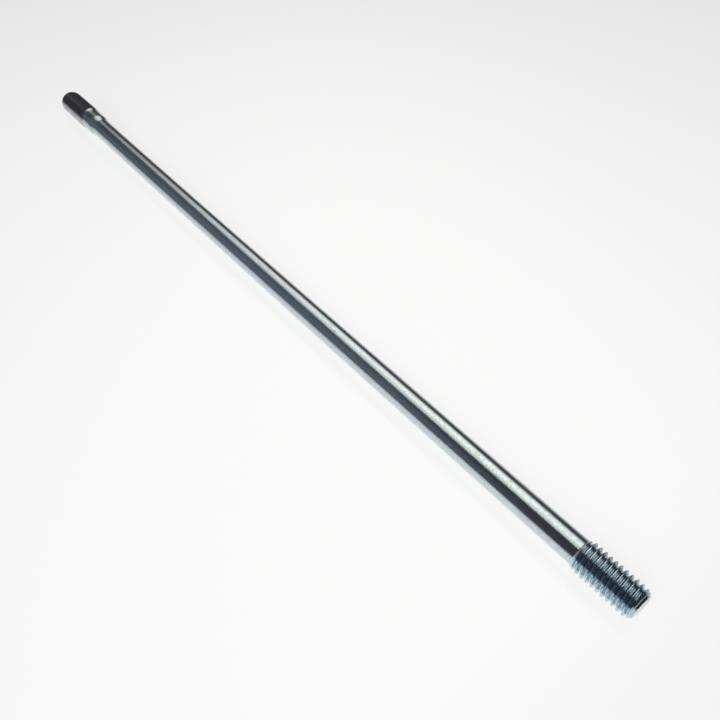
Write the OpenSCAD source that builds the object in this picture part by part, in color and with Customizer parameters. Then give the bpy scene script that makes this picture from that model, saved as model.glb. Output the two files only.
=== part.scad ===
// Double-ended stud bolt, one turned and rolled piece of steel, lying on its side.
// It is drawn along Z from the rounded tip (Z = 0) to the flat end, then laid along X.
// Lengths are in millimetres.

/* [Shank] */
// Length of the whole stud, from the rounded tip to the flat end
overall_len = 317.5; // [120:0.5:600]
// Diameter of the plain shank between the threaded ends
shank_d = 7.9; // [6.5:0.05:8.6]

/* [Nut end: fine thread with a rounded tip] */
// Outside diameter over the crests of the fine thread, which also sets the tip's radius
nut_thread_d = 9.525; // [9.2:0.005:12]
// Length of full thread, measured from the rounded tip
nut_thread_len = 21; // [10:0.5:60]
// Length over which the fine thread dies away into the neck
nut_runout_len = 3; // [1:0.1:8]
// Diameter of the plain neck between the fine thread and the shoulder
neck_d = 9; // [8.65:0.01:9.1]
// Length of the plain neck
neck_len = 5.7; // [1:0.1:30]
// Length of the tapered shoulder from the neck down to the shank
shoulder_len = 4.3; // [0.5:0.1:10]

/* [Tap end: coarse thread with a chamfered flat end] */
// Outside diameter over the crests of the coarse thread
tap_thread_d = 9.525; // [9.2:0.005:12]
// Distance from one crest of the coarse thread to the next
tap_pitch = 1.5875; // [1:0.0125:2]
// Angle between the two flanks of a thread groove
flank_angle = 60; // [50:1:60]
// Length of full thread, measured from the flat end
tap_thread_len = 17.1; // [8:0.1:60]
// Length over which the coarse thread dies away into the shank
tap_runout_len = 2.3; // [1:0.1:6]
// Diameter of the flat face that the chamfer leaves on the end
tap_face_d = 6.9; // [4:0.1:7.5]
// Length of the chamfer along the stud
tap_chamfer_len = 1.6; // [0.5:0.1:3]
// Turn of the coarse thread about the stud, where its groove meets the end's plane
tap_start_deg = 247; // [0:1:359]

/* [Hidden] */

$fn = 96;
zinc = "lightsteelblue";

// Radii of the plain surfaces
shank_r = shank_d / 2;
neck_r = neck_d / 2;
nut_r = nut_thread_d / 2;
tap_r = tap_thread_d / 2;
tap_face_r = tap_face_d / 2;

// Places along the stud, counted from the rounded tip
nut_thread_end = nut_thread_len;
neck_start = nut_thread_end + nut_runout_len;
shoulder_start = neck_start + neck_len;
shank_start = shoulder_start + shoulder_len;
chamfer_start = overall_len - tap_chamfer_len;
tap_thread_start = overall_len - tap_thread_len;
shank_end = tap_thread_start - tap_runout_len;

// Unified thread form: the triangle's height, the depth rolled into the blank, and the root's flat
thread_triangle = tap_pitch / (2 * tan(flank_angle / 2));
thread_depth = thread_triangle * 17 / 24;
crest_flat = tap_pitch / 8;
root_flat = tap_pitch - crest_flat - 2 * thread_depth * tan(flank_angle / 2);
root_r = tap_r - thread_depth;

// The groove reaches past the crests, and past the shank where it dies away
crest_clear = tap_pitch / 16;
shank_clear = tap_pitch / 32;
groove_top_r = tap_r + crest_clear;
groove_lift = max(shank_r - root_r, 0) + shank_clear;
groove_start = shank_end - shank_clear;
groove_end = overall_len + tap_pitch / 2 + crest_clear;
turn_steps = 40;
groove_steps = ceil((groove_end - groove_start) / tap_pitch * turn_steps);

// Highest of the two threads over the surface that the stud lies on
lying_r = max(nut_r, tap_r);

// Half of the stud's lengthwise section: X is the radius and Y runs along the stud
module half_section() {
    // Rounded tip, a quarter of a disc that meets the fine thread's crests
    intersection() {
        translate([0, nut_r]) circle(r = nut_r);
        square([nut_r, nut_r]);
    }
    // Everything behind the tip, out to the crests of both threads
    polygon([
        [0, nut_r],
        [nut_r, nut_r],
        [nut_r, nut_thread_end],
        [neck_r, neck_start],
        [neck_r, shoulder_start],
        [shank_r, shank_start],
        [shank_r, shank_end],
        [tap_r, tap_thread_start],
        [tap_r, chamfer_start],
        [tap_face_r, overall_len],
        [0, overall_len],
    ]);
}

module blank() {
    rotate_extrude() half_section();
}

// How far the groove's root is lifted at height z, to bring it out of the metal at the shank
function root_lift(z) = groove_lift * max(0, min(1, (tap_thread_start - z) / tap_runout_len));

// Turn of the groove about the stud at height z, for a right-hand thread
function groove_turn(z) = tap_start_deg + 360 * (z - overall_len) / tap_pitch;

// A point of the groove's section, offset along the stud from its middle
function groove_point(z, offset, r) = [
    r * cos(groove_turn(z)),
    r * sin(groove_turn(z)),
    z + offset,
];

// The V section of the groove at height z: two points past the crests, and two at the root
function groove_section(z) =
    let (
        bottom_r = root_r + root_lift(z),
        bottom = root_flat / 2,
        top = bottom + (groove_top_r - bottom_r) * tan(flank_angle / 2)
    )
    [
        groove_point(z, -top, groove_top_r),
        groove_point(z, -bottom, bottom_r),
        groove_point(z, bottom, bottom_r),
        groove_point(z, top, groove_top_r),
    ];

// The space between the coarse thread's crests, as one strip wound along a helix
module thread_groove() {
    sections = [
        for (i = [0:groove_steps])
            groove_section(groove_start + (groove_end - groove_start) * i / groove_steps)
    ];
    corners = len(sections[0]);
    sides = [
        for (i = [0:groove_steps - 1], j = [0:corners - 1])
            let (k = (j + 1) % corners)
            [
                i * corners + j,
                (i + 1) * corners + j,
                (i + 1) * corners + k,
                i * corners + k,
            ]
    ];
    first_cap = [for (j = [0:corners - 1]) j];
    last_cap = [for (j = [corners - 1:-1:0]) groove_steps * corners + j];
    polyhedron(points = [for (section = sections) each section], faces = [first_cap, each sides, last_cap]);
}

module stud_bolt() {
    color(zinc)
        translate([-overall_len / 2, 0, lying_r])
            rotate([0, 90, 0])
                difference() {
                    blank();
                    thread_groove();
                }
}

stud_bolt();
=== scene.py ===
"""Looks of the stud bolt: one detailed steel piece with both threads, zinc plated, on a plain pale floor."""

import math

import bmesh
import bpy
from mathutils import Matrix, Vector


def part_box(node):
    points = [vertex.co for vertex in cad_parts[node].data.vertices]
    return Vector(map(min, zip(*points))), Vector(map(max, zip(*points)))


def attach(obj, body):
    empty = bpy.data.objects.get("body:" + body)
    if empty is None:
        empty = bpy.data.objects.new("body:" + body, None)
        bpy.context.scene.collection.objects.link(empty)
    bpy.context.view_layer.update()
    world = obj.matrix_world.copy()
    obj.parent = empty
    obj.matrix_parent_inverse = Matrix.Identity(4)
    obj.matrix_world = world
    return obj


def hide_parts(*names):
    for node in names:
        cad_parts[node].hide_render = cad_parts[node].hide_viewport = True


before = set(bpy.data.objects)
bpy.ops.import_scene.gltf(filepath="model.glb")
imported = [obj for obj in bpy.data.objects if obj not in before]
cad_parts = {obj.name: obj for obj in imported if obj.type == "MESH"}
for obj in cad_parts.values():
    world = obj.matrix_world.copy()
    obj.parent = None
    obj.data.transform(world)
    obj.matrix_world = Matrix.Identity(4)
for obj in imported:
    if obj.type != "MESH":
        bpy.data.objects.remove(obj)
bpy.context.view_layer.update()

MM = 0.001


# ---------------------------------------------------------------- sizes of the stud

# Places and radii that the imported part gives
CAD_LOW, CAD_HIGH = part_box("stud_bolt")
TIP_X = CAD_LOW.x
FACE_X = CAD_HIGH.x
MIDDLE_X = (TIP_X + FACE_X) / 2
AXIS_Y = (CAD_LOW.y + CAD_HIGH.y) / 2
AXIS_Z = (CAD_LOW.z + CAD_HIGH.z) / 2
CREST_R = (CAD_HIGH.z - CAD_LOW.z) / 2

# Sizes of the plain surfaces, as in the part's source
SHANK_R = 3.95 * MM
NECK_R = 4.5 * MM
FACE_R = 3.45 * MM
NUT_THREAD_END = TIP_X + 21 * MM
NECK_START = NUT_THREAD_END + 3 * MM
SHOULDER_START = NECK_START + 5.7 * MM
SHANK_START = SHOULDER_START + 4.3 * MM
TAP_THREAD_START = FACE_X - 17.1 * MM
CHAMFER_START = FACE_X - 1.6 * MM

# Both run-outs are a little shorter than in the part's source. At the nut end it is the blank's narrowing
# under the fine thread's last turns, and at the tap end it starts at the edge where the shank ends.
NUT_NARROWING = (NUT_THREAD_END + 1.1 * MM, NECK_START + 0.4 * MM)
SHANK_END = TAP_THREAD_START - 1.77 * MM

# The two threads, both right-hand: the pitch, and the middle of a groove at turn 0, which is towards +Y
COARSE_PITCH = 25.4 * MM / 16
COARSE_GROOVE_X = FACE_X - 0.6906 * MM
FINE_PITCH = 25.4 * MM / 24
FINE_GROOVE_X = TIP_X + 1.9304 * MM

# Radius of a rounded root in the unified thread form, as a share of the pitch
ROOT_SHARE = 0.1443

# Where a groove dies away, its root is lifted by a depth over a stretch: the fine one towards the neck,
# and the coarse one towards the shank and towards the plain cone at the flat end
FINE_LIFT = 0.65 * MM
FINE_FADE = (NUT_THREAD_END + 0.9 * MM, NUT_THREAD_END + 2.7 * MM)
SHANK_LIFT = 0.2 * MM
SHANK_FADE = (SHANK_END, SHANK_END + 0.9 * MM)
CONE_LIFT = 1.0 * MM
CONE_FADE = (FACE_X - 1.2 * MM, FACE_X - 0.6 * MM)

# The fine thread dies away this much sooner on the far side, and as much later on the near side
NUT_END_LEAN = 1.2 * MM

# The stud bows a little between its ends, towards this turn about its axis
BOW = 0.351 * MM
BOW_TURN = math.radians(212)

# The rounded lip of the flat end. Its arc's middle lies LIP_INSET lip radii inside the face's rim,
# which is where the lip meets the chamfer smoothly.
LIP_R = 0.2 * MM
LIP_INSET = 0.47

# Where each thread's helical rows of points start and end at turn 0, and where the last coarse ones crowd up
FINE_ROWS = (FINE_GROOVE_X, NECK_START + 0.5 * MM)
COARSE_ROWS = (SHANK_END - COARSE_PITCH * 1.2, FACE_X + COARSE_PITCH)
LAST_ROWS = (FACE_X - 0.5 * MM, FACE_X - 0.1 * MM)

# How finely the rest is built: points round the stud, and the places of the plain rings
TURN_STEPS = 120
DOME_DEGREES = (4, 8, 14, 20, 26, 32, 38, 42)
NECK_RINGS = (NECK_START + FINE_PITCH * 1.6, SHOULDER_START - 0.2 * MM)
SHOULDER_STEPS = 12
SHANK_STEPS = 64
LIP_DEGREES = (40, 52, 64, 76, 90)
FACE_SHARES = (0.9, 0.7, 0.45, 0.2)
ROOT_DEGREES = (0, 20, 40, 60)
SHARP_ANGLE = math.radians(32)


# ---------------------------------------------------------------- shape

def mix(a, b, t):
    return a + (b - a) * t


def clamp01(t):
    return max(0.0, min(1.0, t))


def ramp(x, x0, x1):
    """0 before x0, 1 after x1, straight between."""
    return clamp01((x - x0) / (x1 - x0))


def smooth(t):
    return t * t * (3 - 2 * t)


def outer_radius(x):
    """Radius of the turned blank at x, out to the crests of both threads."""
    if x < TIP_X + CREST_R:
        inward = TIP_X + CREST_R - x
        return math.sqrt(max(CREST_R**2 - inward**2, 0.0))
    if x < SHOULDER_START:
        return mix(CREST_R, NECK_R, smooth(ramp(x, *NUT_NARROWING)))
    if x < SHANK_START:
        return mix(NECK_R, SHANK_R, smooth(ramp(x, SHOULDER_START, SHANK_START)))
    if x < TAP_THREAD_START:
        return mix(SHANK_R, CREST_R, ramp(x, SHANK_END, TAP_THREAD_START))
    return mix(CREST_R, FACE_R, ramp(x, CHAMFER_START, FACE_X))


def thread_form(pitch):
    """Unified thread form with a rounded root: (place along the pitch from the groove's middle, radius)."""
    triangle = pitch * math.sqrt(3) / 2
    root_arc = pitch * ROOT_SHARE
    arc_centre = CREST_R + triangle / 8 - triangle + 2 * root_arc
    arc = [
        (root_arc * math.sin(a), arc_centre - root_arc * math.cos(a))
        for a in (math.radians(d) for d in ROOT_DEGREES)
    ]
    flank_end = arc[-1]
    crest_edge = (pitch * 7 / 16, CREST_R)
    flank_middle = (mix(flank_end[0], crest_edge[0], 0.5), mix(flank_end[1], crest_edge[1], 0.5))
    right = arc + [flank_middle, crest_edge, (pitch / 2, CREST_R)]
    left = [(-u, r) for u, r in reversed(right[1:-1])]
    return left + right


def nut_lift(x, turn):
    """How far the fine groove's root is lifted where it dies away, a little later on the camera's side."""
    return FINE_LIFT * ramp(x + NUT_END_LEAN * math.cos(turn), *FINE_FADE)


def tap_lift(x, _turn):
    """How far the coarse groove's root is lifted where it dies away, at both of its ends."""
    return SHANK_LIFT * (1 - ramp(x, *SHANK_FADE)) + CONE_LIFT * ramp(x, *CONE_FADE)


def squeezed(x, start, end):
    """The place x, or past start, a place drawn back so that it always stays short of end."""
    if x <= start:
        return x
    room = end - start
    return end - room * math.exp(-(x - start) / room)


def thread_rows(pitch, groove_x, first_x, last_x, lift, squeeze=None):
    """Rows of (x, radius) along the thread's helix, and how many of them make one pitch.

    The rows run from first_x to last_x at turn 0, where groove_x is the middle of a groove.
    A row is one helical line of TURN_STEPS points, and its end at a full turn meets the row one pitch later.
    squeeze is the stretch where the last rows crowd up, so that they stay on the stud.
    """
    form = thread_form(pitch)
    first_turn = math.ceil((first_x - groove_x) / pitch)
    last_turn = math.floor((last_x - groove_x) / pitch)
    stations = [(groove_x + k * pitch + u, r) for k in range(first_turn, last_turn) for u, r in form]
    columns = []
    for j in range(TURN_STEPS):
        turn = 2 * math.pi * j / TURN_STEPS
        column = []
        for x, r in stations:
            x += pitch * j / TURN_STEPS
            if squeeze:
                x = squeezed(x, *squeeze)
            column.append([x, r + lift(x, turn)])
        columns.append(cut_to_blank(column))
    return list(zip(*columns)), len(form)


def cut_to_blank(column):
    """Trims a column of thread points to the blank, and moves the nearest points onto the edges.

    The edges are where the thread and the blank cross, and where the shank ends.
    """
    over = [r - outer_radius(x) for x, r in column]
    trimmed = [[x, min(r, outer_radius(x))] for x, r in column]
    for i in range(len(column) - 1):
        if over[i] * over[i + 1] < 0:
            t = over[i] / (over[i] - over[i + 1])
            x = mix(column[i][0], column[i + 1][0], t)
            trimmed[i if t < 0.5 else i + 1] = [x, outer_radius(x)]
    nearest = min(trimmed, key=lambda point: abs(point[0] - SHANK_END))
    if abs(nearest[0] - SHANK_END) < COARSE_PITCH / 2:
        nearest[:] = [SHANK_END, SHANK_R]
    return trimmed


class Skin:
    """Gathers rings and helical rows of points into one closed mesh about the stud's axis."""

    def __init__(self):
        self.mesh = bmesh.new()
        self.edge = None

    def point(self, x, r, j):
        turn = 2 * math.pi * j / TURN_STEPS
        along = ramp(x, SHANK_START, SHANK_END)
        bow = BOW * 4 * along * (1 - along)
        y = AXIS_Y + r * math.cos(turn) + bow * math.cos(BOW_TURN)
        z = AXIS_Z + r * math.sin(turn) + bow * math.sin(BOW_TURN)
        return self.mesh.verts.new((x, y, z))

    def face(self, *verts):
        self.mesh.faces.new(verts)

    def start(self, x):
        """The pole of the rounded tip."""
        self.edge = [self.point(x, 0.0, 0)]

    def ring(self, x, r):
        """Adds one plain ring and joins it to what came before."""
        ring = [self.point(x, r, j) for j in range(TURN_STEPS)]
        if len(self.edge) == 1:
            for j in range(TURN_STEPS):
                self.face(self.edge[0], ring[j], ring[j - 1])
        else:
            self.join(self.edge, ring)
        self.edge = ring

    def join(self, near, far):
        """Joins two closed rims, each with its first point at turn 0.

        A rim's points past a full turn are those of the step where a helix meets itself a pitch later.
        """
        n = TURN_STEPS
        for j in range(n - 1):
            self.face(near[j], far[j], far[j + 1], near[j + 1])
        self.face(near[n - 1], far[n - 1], *far[n:], far[0], near[0], *reversed(near[n:]))

    def helix(self, rows, per_pitch):
        """Adds helical rows, each joined to the next, and to itself one pitch later at the seam."""
        grid = [[self.point(x, r, j) for j, (x, r) in enumerate(row)] for row in rows]
        n, m, last = TURN_STEPS, per_pitch, len(grid) - 1
        self.join(self.edge, grid[0] + [grid[i][0] for i in range(m, 0, -1)])
        for i in range(last):
            for j in range(n - 1):
                self.face(grid[i][j], grid[i + 1][j], grid[i + 1][j + 1], grid[i][j + 1])
            if i + 1 + m <= last:
                self.face(grid[i][n - 1], grid[i + 1][n - 1], grid[i + 1 + m][0], grid[i + m][0])
        self.edge = grid[last] + [grid[i][n - 1] for i in range(last - 1, last - m - 1, -1)]

    def end(self, x):
        """Closes the flat end at its middle."""
        pole = self.point(x, 0.0, 0)
        for j in range(TURN_STEPS):
            self.face(self.edge[j - 1], pole, self.edge[j])

    def finish(self, name):
        """The gathered mesh, smooth but for its sharp edges and the edge where the shank ends."""
        mesh = bpy.data.meshes.new(name)
        bmesh.ops.recalc_face_normals(self.mesh, faces=self.mesh.faces)
        self.mesh.to_mesh(mesh)
        self.mesh.free()
        mesh.shade_smooth()
        mesh.set_sharp_from_angle(angle=SHARP_ANGLE)
        for edge in mesh.edges:
            if all(abs(mesh.vertices[v].co.x - SHANK_END) < 0.01 * MM for v in edge.vertices):
                edge.use_edge_sharp = True
        return mesh


def add_nut_end(skin):
    """The rounded tip, the fine thread and the neck."""
    skin.start(TIP_X)
    for degrees in DOME_DEGREES:
        a = math.radians(degrees)
        skin.ring(TIP_X + CREST_R * (1 - math.cos(a)), CREST_R * math.sin(a))
    skin.helix(*thread_rows(FINE_PITCH, FINE_GROOVE_X, *FINE_ROWS, nut_lift))
    for x in NECK_RINGS:
        skin.ring(x, NECK_R)


def add_shank(skin):
    """The shoulder and the shank, up to a pitch before the coarse thread's rows."""
    for i in range(SHOULDER_STEPS + 1):
        x = mix(SHOULDER_START, SHANK_START, i / SHOULDER_STEPS)
        skin.ring(x, outer_radius(x))
    for i in range(1, SHANK_STEPS + 1):
        skin.ring(mix(SHANK_START, COARSE_ROWS[0] - COARSE_PITCH, i / SHANK_STEPS), SHANK_R)


def add_tap_end(skin):
    """The coarse thread, and the flat end with its lip."""
    skin.helix(*thread_rows(COARSE_PITCH, COARSE_GROOVE_X, *COARSE_ROWS, tap_lift, squeeze=LAST_ROWS))
    for degrees in LIP_DEGREES:
        a = math.radians(degrees)
        skin.ring(FACE_X - LIP_R * (1 - math.sin(a)), FACE_R - LIP_R * (LIP_INSET - math.cos(a)))
    for share in FACE_SHARES:
        skin.ring(FACE_X, FACE_R * share)
    skin.end(FACE_X)


def build_stud():
    """The whole stud as one closed mesh, from the rounded tip to the flat end."""
    skin = Skin()
    add_nut_end(skin)
    add_shank(skin)
    add_tap_end(skin)
    stud = bpy.data.objects.new("threaded_stud", skin.finish("stud"))
    stud.data.materials.append(zinc_material())
    bpy.context.scene.collection.objects.link(stud)
    return stud


# ---------------------------------------------------------------- materials

class Nodes:
    """A material's or world's node tree, with short calls to add nodes and link them."""

    def __init__(self, owner):
        owner.use_nodes = True
        self.tree = owner.node_tree
        self.tree.nodes.clear()

    def feed(self, socket, value):
        """Links another node's output to a socket, or sets the socket to a plain value."""
        if isinstance(value, bpy.types.NodeSocket):
            self.tree.links.new(value, socket)
        else:
            socket.default_value = value

    def add(self, kind, inputs=None, **settings):
        node = self.tree.nodes.new(kind)
        for name, value in settings.items():
            setattr(node, name, value)
        for name, value in (inputs or {}).items():
            self.feed(node.inputs[name], value)
        return node

    def math(self, operation, a, b=0.0):
        return self.add("ShaderNodeMath", {0: a, 1: b}, operation=operation).outputs[0]

    def vector(self, operation, a, b=(0, 0, 0), output="Vector"):
        return self.add("ShaderNodeVectorMath", {0: a, 1: b}, operation=operation).outputs[output]

    def parts(self, vector):
        """The X, Y and Z of a vector, by name."""
        return self.add("ShaderNodeSeparateXYZ", {0: vector}).outputs

    def noise(self, vector, size, detail, roughness=0.5):
        """Noise whose blotches are about size metres across."""
        inputs = {"Vector": vector, "Scale": 1 / size, "Detail": detail, "Roughness": roughness}
        return self.add("ShaderNodeTexNoise", inputs).outputs["Fac"]

    def ramp(self, factor, low, high, to_low, to_high, clamp=True):
        """to_low where the factor is low, to_high where it is high, straight between."""
        inputs = {
            "Value": factor,
            "From Min": low,
            "From Max": high,
            "To Min": to_low,
            "To Max": to_high,
        }
        return self.add("ShaderNodeMapRange", inputs, clamp=clamp).outputs["Result"]

    def line(self, x, middle, width):
        """1 at a middle, falling to 0 a width to either side of it."""
        away = self.math("ABSOLUTE", self.math("SUBTRACT", x, middle))
        return self.ramp(away, 0, width, 1, 0)

    def blend(self, factor, a, b):
        """The colour a where the factor is 0, and b where it is 1."""
        node = self.add("ShaderNodeMix", data_type="RGBA")
        for place, value in ((0, factor), (6, a), (7, b)):
            self.feed(node.inputs[place], value)
        return node.outputs[2]

    def emission(self, **inputs):
        return self.add("ShaderNodeEmission", inputs).outputs[0]

    def surface(self, shader):
        self.add("ShaderNodeOutputMaterial", {"Surface": shader})


# Colours of the zinc: at the shank's ends and its middle, and painted shade on the two threads
BLACK = (0, 0, 0, 1)
END_ZINC = (0.575, 0.640, 0.665, 1)
MIDDLE_ZINC = (0.585, 0.635, 0.700, 1)
SHADED_COARSE_ZINC = (0.455, 0.568, 0.645, 1)
SHADED_FINE_ZINC = (0.52, 0.52, 0.55, 1)

# How far from the stud's middle the middle's colour reaches
MIDDLE_REACH = 110 * MM

# The coarse thread's painted shade, darker and bluer in its grooves, starts over this stretch. It is full
# inside the first radius and half as strong outside the second.
COARSE_SHADE_STRETCH = (SHANK_END - 1 * MM, SHANK_END + 1.5 * MM)
COARSE_SHADE_RADII = (CREST_R - 0.22 * MM, CREST_R - 0.06 * MM)

# The fine thread's painted shade, darker and greyer, ends over this stretch, which leans as the thread's end
# does
FINE_SHADE_STRETCH = (NUT_THREAD_END + 1.6 * MM, NUT_THREAD_END + 2.8 * MM)

# Blotches and a finer mottle darken the zinc: size, detail of the noise, and the largest share of dark
BLOTCHES = (6 * MM, 3.0, 0.07)
MOTTLE = (0.4 * MM, 1.0, 0.3)

# Its satin grain: size, detail and harshness of the noise, then how deep and how rough the grain is
GRAIN = (0.36 * MM, 2.0, 0.6)
GRAIN_DEPTH = 0.02 * MM
GRAIN_ROUGHNESS = (0.08, 0.17)

# Painted highlights of two rounded edges, as rings that are rougher and less metallic: place along the stud
# and half width
HIGHLIGHT_RINGS = (
    (SHANK_END + 0.35 * MM, 0.15 * MM),
    (FACE_X - 0.68 * MM, 0.13 * MM),
)
HIGHLIGHT_ROUGHNESS = 0.55
HIGHLIGHT_METALLIC = 0.55

# Dark specks on the shank: place along the axis from its middle and radius in mm, turn in degrees, darkness
SPECKS = (
    (40.9, 0.30, 107, 0.75),
    (52.8, 0.25, 168, 0.40),
    (65.5, 0.28, 183, 0.45),
    (70.1, 0.28, 173, 0.55),
    (123.4, 0.25, 174, 0.35),
    (127.1, 0.25, 174, 0.45),
    (128.8, 0.25, 158, 0.40),
    (129.4, 0.30, 179, 0.50),
)


def blotched(n, place, colour, size, detail, share):
    """The colour with soft dark blotches of about a size laid over it."""
    darkness = n.ramp(n.noise(place, size, detail), 0.3, 0.7, share, 0)
    return n.blend(darkness, colour, BLACK)


def specked(n, place, colour):
    """The colour with the dark specks laid over it."""
    for x, radius, degrees, darkness in SPECKS:
        turn = math.radians(degrees)
        middle = (
            MIDDLE_X + x * MM,
            AXIS_Y + SHANK_R * math.cos(turn),
            AXIS_Z + SHANK_R * math.sin(turn),
        )
        away = n.vector("DISTANCE", place, middle, output="Value")
        colour = n.blend(n.ramp(away, radius * MM / 2, radius * MM, darkness, 0), colour, BLACK)
    return colour


def zinc_colour(n, place):
    """Colour of the zinc: mottled and bluer at mid-length, with painted shade, darker and bluer in the coarse
    grooves and darker and greyer on the fine thread.
    """
    off_axis = n.vector("SUBTRACT", place, (0, AXIS_Y, AXIS_Z))
    at = n.parts(off_axis)
    radius = n.vector("LENGTH", n.vector("MULTIPLY", off_axis, (0, 1, 1)), output="Value")

    tint = n.blend(n.ramp(n.math("ABSOLUTE", at["X"]), 0, MIDDLE_REACH, 1, 0), END_ZINC, MIDDLE_ZINC)
    plain = blotched(n, place, tint, *BLOTCHES)

    # Painted shade in the coarse grooves: darker and bluer the deeper in them
    depth = n.ramp(radius, *COARSE_SHADE_RADII, 1, 0.5)
    coarse = n.math("MULTIPLY", n.ramp(at["X"], *COARSE_SHADE_STRETCH, 0, 1), depth)
    groove_shaded = n.blend(coarse, plain, SHADED_COARSE_ZINC)

    # Painted shade over the fine thread: darker and greyer
    leaned = n.math("ADD", at["X"], n.math("MULTIPLY", at["Y"], NUT_END_LEAN / CREST_R))
    fine_shaded = n.blend(n.ramp(leaned, *FINE_SHADE_STRETCH, 1, 0), groove_shaded, SHADED_FINE_ZINC)

    return specked(n, place, blotched(n, place, fine_shaded, *MOTTLE))


def zinc_material():
    """Bright zinc plate: a metal with a fine satin grain, and two rings that paint the highlights of rounded
    edges.
    """
    material = bpy.data.materials.new("zinc_plate")
    n = Nodes(material)
    place = n.add("ShaderNodeTexCoord").outputs["Object"]
    x = n.parts(place)["X"]
    # Rings of painted highlight, where rounded edges catch the light
    painted_highlight = n.math("MAXIMUM", *(n.line(x, middle, width) for middle, width in HIGHLIGHT_RINGS))
    grain = n.noise(place, *GRAIN)
    satin = n.ramp(grain, 0.25, 0.75, *GRAIN_ROUGHNESS)
    bump = n.add("ShaderNodeBump", {"Height": grain, "Distance": GRAIN_DEPTH, "Strength": 1.0})
    shader = n.add(
        "ShaderNodeBsdfPrincipled",
        {
            "Base Color": zinc_colour(n, place),
            "Metallic": n.ramp(painted_highlight, 0, 1, 1, HIGHLIGHT_METALLIC),
            "Roughness": n.math("MAXIMUM", satin, n.math("MULTIPLY", painted_highlight, HIGHLIGHT_ROUGHNESS)),
            "Normal": bump.outputs["Normal"],
        },
    )
    n.surface(shader.outputs[0])
    return material


# ---------------------------------------------------------------- studio

# The floor: its shade as the lamps and the metal see it, and its gloss
FLOOR_SIZE = 8.0
FLOOR_SHADE = 0.85
FLOOR_ROUGHNESS = 0.2
FLOOR_IOR = 1.5

# To the camera, the floor is a faint shade that takes the shadow, and a plain pale glow
CAMERA_SHADE = 0.08
CAMERA_GLOW = 0.855

# Mirrored in the metal, the floor glows faintly. On the camera's side of a soft edge under the stud it glows
# more, by a first amount at the stud's rounded end and by a second at its flat end: a painted pool of light,
# which leaves the far side in painted shade.
MIRRORED_GLOW = 0.05
NEAR_GLOW_EDGE = (-14 * MM, 4 * MM)
NEAR_GLOW_ENDS = (-150 * MM, 150 * MM)
NEAR_GLOW = (0.16, 0.33)

# The soft light is a level sheet. Places on it are slopes as seen from the stud, in metres aside per metre of
# height. Its glow is a bell, with a middle and a width along LIGHT_TURN, and a middle and a width across it.
LIGHT_HEIGHT = 3.0
LIGHT_OUTLINE = ((-0.06, 2.2), (-2.4, 2.2), (-2.1, 0.3), (-1.3, 0.12), (-0.62, -0.24), (-0.06, -0.33))
LIGHT_COLOUR = (1.0, 0.98, 0.91, 1)
LIGHT_PEAK = 1.74
LIGHT_TURN = math.radians(150)
LIGHT_ALONG = (0.55, 1.38)
LIGHT_ACROSS = (0.20, 0.72)

# The lamp that lights the floor
FILL_PLACE = Vector((0.9, -2.2, 1.9))
FILL_SIZE = 2.4
FILL_WATTS = 165

# The dim room around, which the metal mirrors
ROOM_SHADE = (0.066, 0.063, 0.075, 1)
ROOM_PATCHES = (
    # direction of the middle, cosines of the outer and the inner edge, colour
    ((-0.66, -0.65, 0.38), 0.89, 0.985, (0.168, 0.190, 0.232, 1)),
    ((-0.60, -0.15, 0.78), 0.90, 0.98, (0.130, 0.150, 0.180, 1)),
    ((-0.62, -0.78, 0.08), 0.88, 1.0, (0.170, 0.182, 0.215, 1)),
    ((-0.30, 0.90, 0.30), 0.60, 0.92, (0.092, 0.092, 0.104, 1)),
    ((0.98, -0.10, 0.15), 0.45, 0.80, (0.048, 0.045, 0.052, 1)),
    ((0.61, -0.06, 0.79), 0.93, 0.985, (0.55, 0.55, 0.54, 1)),
)


def floor_material():
    """Matt with a faint gloss, and with one glow for the camera and another for what the metal mirrors."""
    material = bpy.data.materials.new("pale_floor")
    n = Nodes(material)
    path = n.add("ShaderNodeLightPath").outputs
    camera = path["Is Camera Ray"]
    mirrored = n.math("MAXIMUM", path["Is Glossy Ray"], path["Is Transmission Ray"])
    place = n.parts(n.add("ShaderNodeTexCoord").outputs["Object"])
    # Painted pool of light on the camera's side of the stud, seen only in the metal
    near_side = n.ramp(place["Y"], *NEAR_GLOW_EDGE, 1, 0)
    near_glow = n.math("MULTIPLY", near_side, n.ramp(place["X"], *NEAR_GLOW_ENDS, *NEAR_GLOW))
    mirrored_glow = n.math("MULTIPLY", mirrored, n.math("ADD", near_glow, MIRRORED_GLOW))
    glow = n.math("ADD", mirrored_glow, n.math("MULTIPLY", camera, CAMERA_GLOW))

    shade = n.ramp(camera, 0, 1, FLOOR_SHADE, CAMERA_SHADE)
    diffuse = n.add("ShaderNodeBsdfDiffuse", {"Color": shade}).outputs[0]
    matt = n.add("ShaderNodeAddShader", {0: diffuse, 1: n.emission(Strength=glow)}).outputs[0]
    gloss = n.add("ShaderNodeBsdfGlossy", {"Roughness": FLOOR_ROUGHNESS}).outputs[0]
    fresnel = n.add("ShaderNodeFresnel", {"IOR": FLOOR_IOR}).outputs[0]
    n.surface(n.add("ShaderNodeMixShader", {0: fresnel, 1: matt, 2: gloss}).outputs[0])
    return material


def widths_away(n, place, direction, middle, width):
    """How many widths a place on the soft light lies from a middle, all as slopes along a direction."""
    distance = n.vector("DOT_PRODUCT", place, direction, output="Value")
    return n.ramp(distance, middle * LIGHT_HEIGHT, (middle + width) * LIGHT_HEIGHT, 0, 1, clamp=False)


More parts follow.
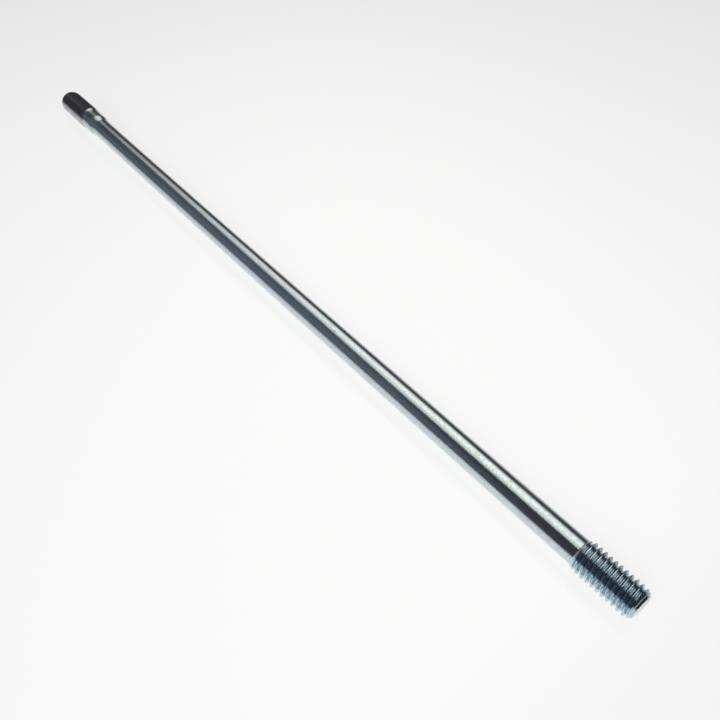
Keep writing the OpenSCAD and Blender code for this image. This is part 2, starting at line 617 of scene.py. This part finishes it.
def light_material():
    material = bpy.data.materials.new("soft_light")
    n = Nodes(material)
    place = n.add("ShaderNodeTexCoord").outputs["Object"]
    cos, sin = math.cos(LIGHT_TURN), math.sin(LIGHT_TURN)
    along = widths_away(n, place, (cos, sin, 0), *LIGHT_ALONG)
    across = widths_away(n, place, (sin, -cos, 0), *LIGHT_ACROSS)
    square = n.math("ADD", n.math("MULTIPLY", across, across), n.math("MULTIPLY", along, along))
    bell = n.math("EXPONENT", n.math("MULTIPLY", square, -1.0))
    n.surface(n.emission(Color=LIGHT_COLOUR, Strength=n.math("MULTIPLY", bell, LIGHT_PEAK)))
    return material


def flat_sheet(name, corners, material):
    """A flat piece of the studio, which is no part of the model."""
    mesh = bpy.data.meshes.new(name)
    mesh.from_pydata(corners, [], [tuple(range(len(corners)))])
    mesh.materials.append(material)
    sheet = bpy.data.objects.new(name, mesh)
    bpy.context.scene.collection.objects.link(sheet)
    return sheet


def build_floor():
    half = FLOOR_SIZE / 2
    corners = [(-half, -half, 0), (half, -half, 0), (half, half, 0), (-half, half, 0)]
    flat_sheet("floor", corners, floor_material())


def build_soft_light():
    """The light that shows in the metal. It leaves matt surfaces to the fill lamp."""
    corners = [(x * LIGHT_HEIGHT, y * LIGHT_HEIGHT, LIGHT_HEIGHT) for x, y in LIGHT_OUTLINE]
    soft_light = flat_sheet("soft_light", corners, light_material())
    soft_light.visible_diffuse = False


def build_fill_lamp():
    """The lamp that lights matt surfaces. The metal doesn't mirror it."""
    fill = bpy.data.lights.new("fill", "AREA")
    fill.shape = "SQUARE"
    fill.size = FILL_SIZE
    fill.energy = FILL_WATTS
    lamp = bpy.data.objects.new("fill", fill)
    lamp.location = FILL_PLACE
    lamp.rotation_euler = (-FILL_PLACE).to_track_quat("-Z", "Y").to_euler()
    lamp.visible_glossy = False
    bpy.context.scene.collection.objects.link(lamp)


def build_room():
    """The world: one dim shade with soft round patches in it, the same for every kind of ray."""
    world = bpy.data.worlds.new("studio")
    bpy.context.scene.world = world
    n = Nodes(world)
    direction = n.add("ShaderNodeTexCoord").outputs["Generated"]
    colour = ROOM_SHADE
    for middle, outer, inner, inside in ROOM_PATCHES:
        nearness = n.vector("DOT_PRODUCT", direction, middle, output="Value")
        colour = n.blend(n.ramp(nearness, outer, inner, 0, 1), colour, inside)
    background = n.add("ShaderNodeBackground", {"Color": colour})
    n.add("ShaderNodeOutputWorld", {"Surface": background.outputs[0]})


# ---------------------------------------------------------------- camera

# Its place from the middle of the stud's axis, where it looks, and its lens
CAMERA_FROM_MIDDLE = Vector((178.139, -103.576, 174.318)) * MM
CAMERA_HEADING = math.radians(140.5779)
CAMERA_DOWN = math.radians(47.0866)
LENS_MM = 38.00545
SENSOR_MM = 36.0


def build_camera():
    data = bpy.data.cameras.new("camera")
    data.sensor_width = SENSOR_MM
    data.lens = LENS_MM
    data.clip_start = 10 * MM
    camera = bpy.data.objects.new("camera", data)
    camera.location = Vector((MIDDLE_X, AXIS_Y, AXIS_Z)) + CAMERA_FROM_MIDDLE
    level = math.cos(CAMERA_DOWN)
    look = (math.cos(CAMERA_HEADING) * level, math.sin(CAMERA_HEADING) * level, -math.sin(CAMERA_DOWN))
    camera.rotation_euler = Vector(look).to_track_quat("-Z", "Y").to_euler()
    bpy.context.scene.collection.objects.link(camera)
    bpy.context.scene.camera = camera


build_camera()
build_floor()
build_soft_light()
build_fill_lamp()
build_room()

stud = build_stud()
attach(stud, "root")
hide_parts("stud_bolt")

bpy.context.scene.view_settings.view_transform = "Standard"
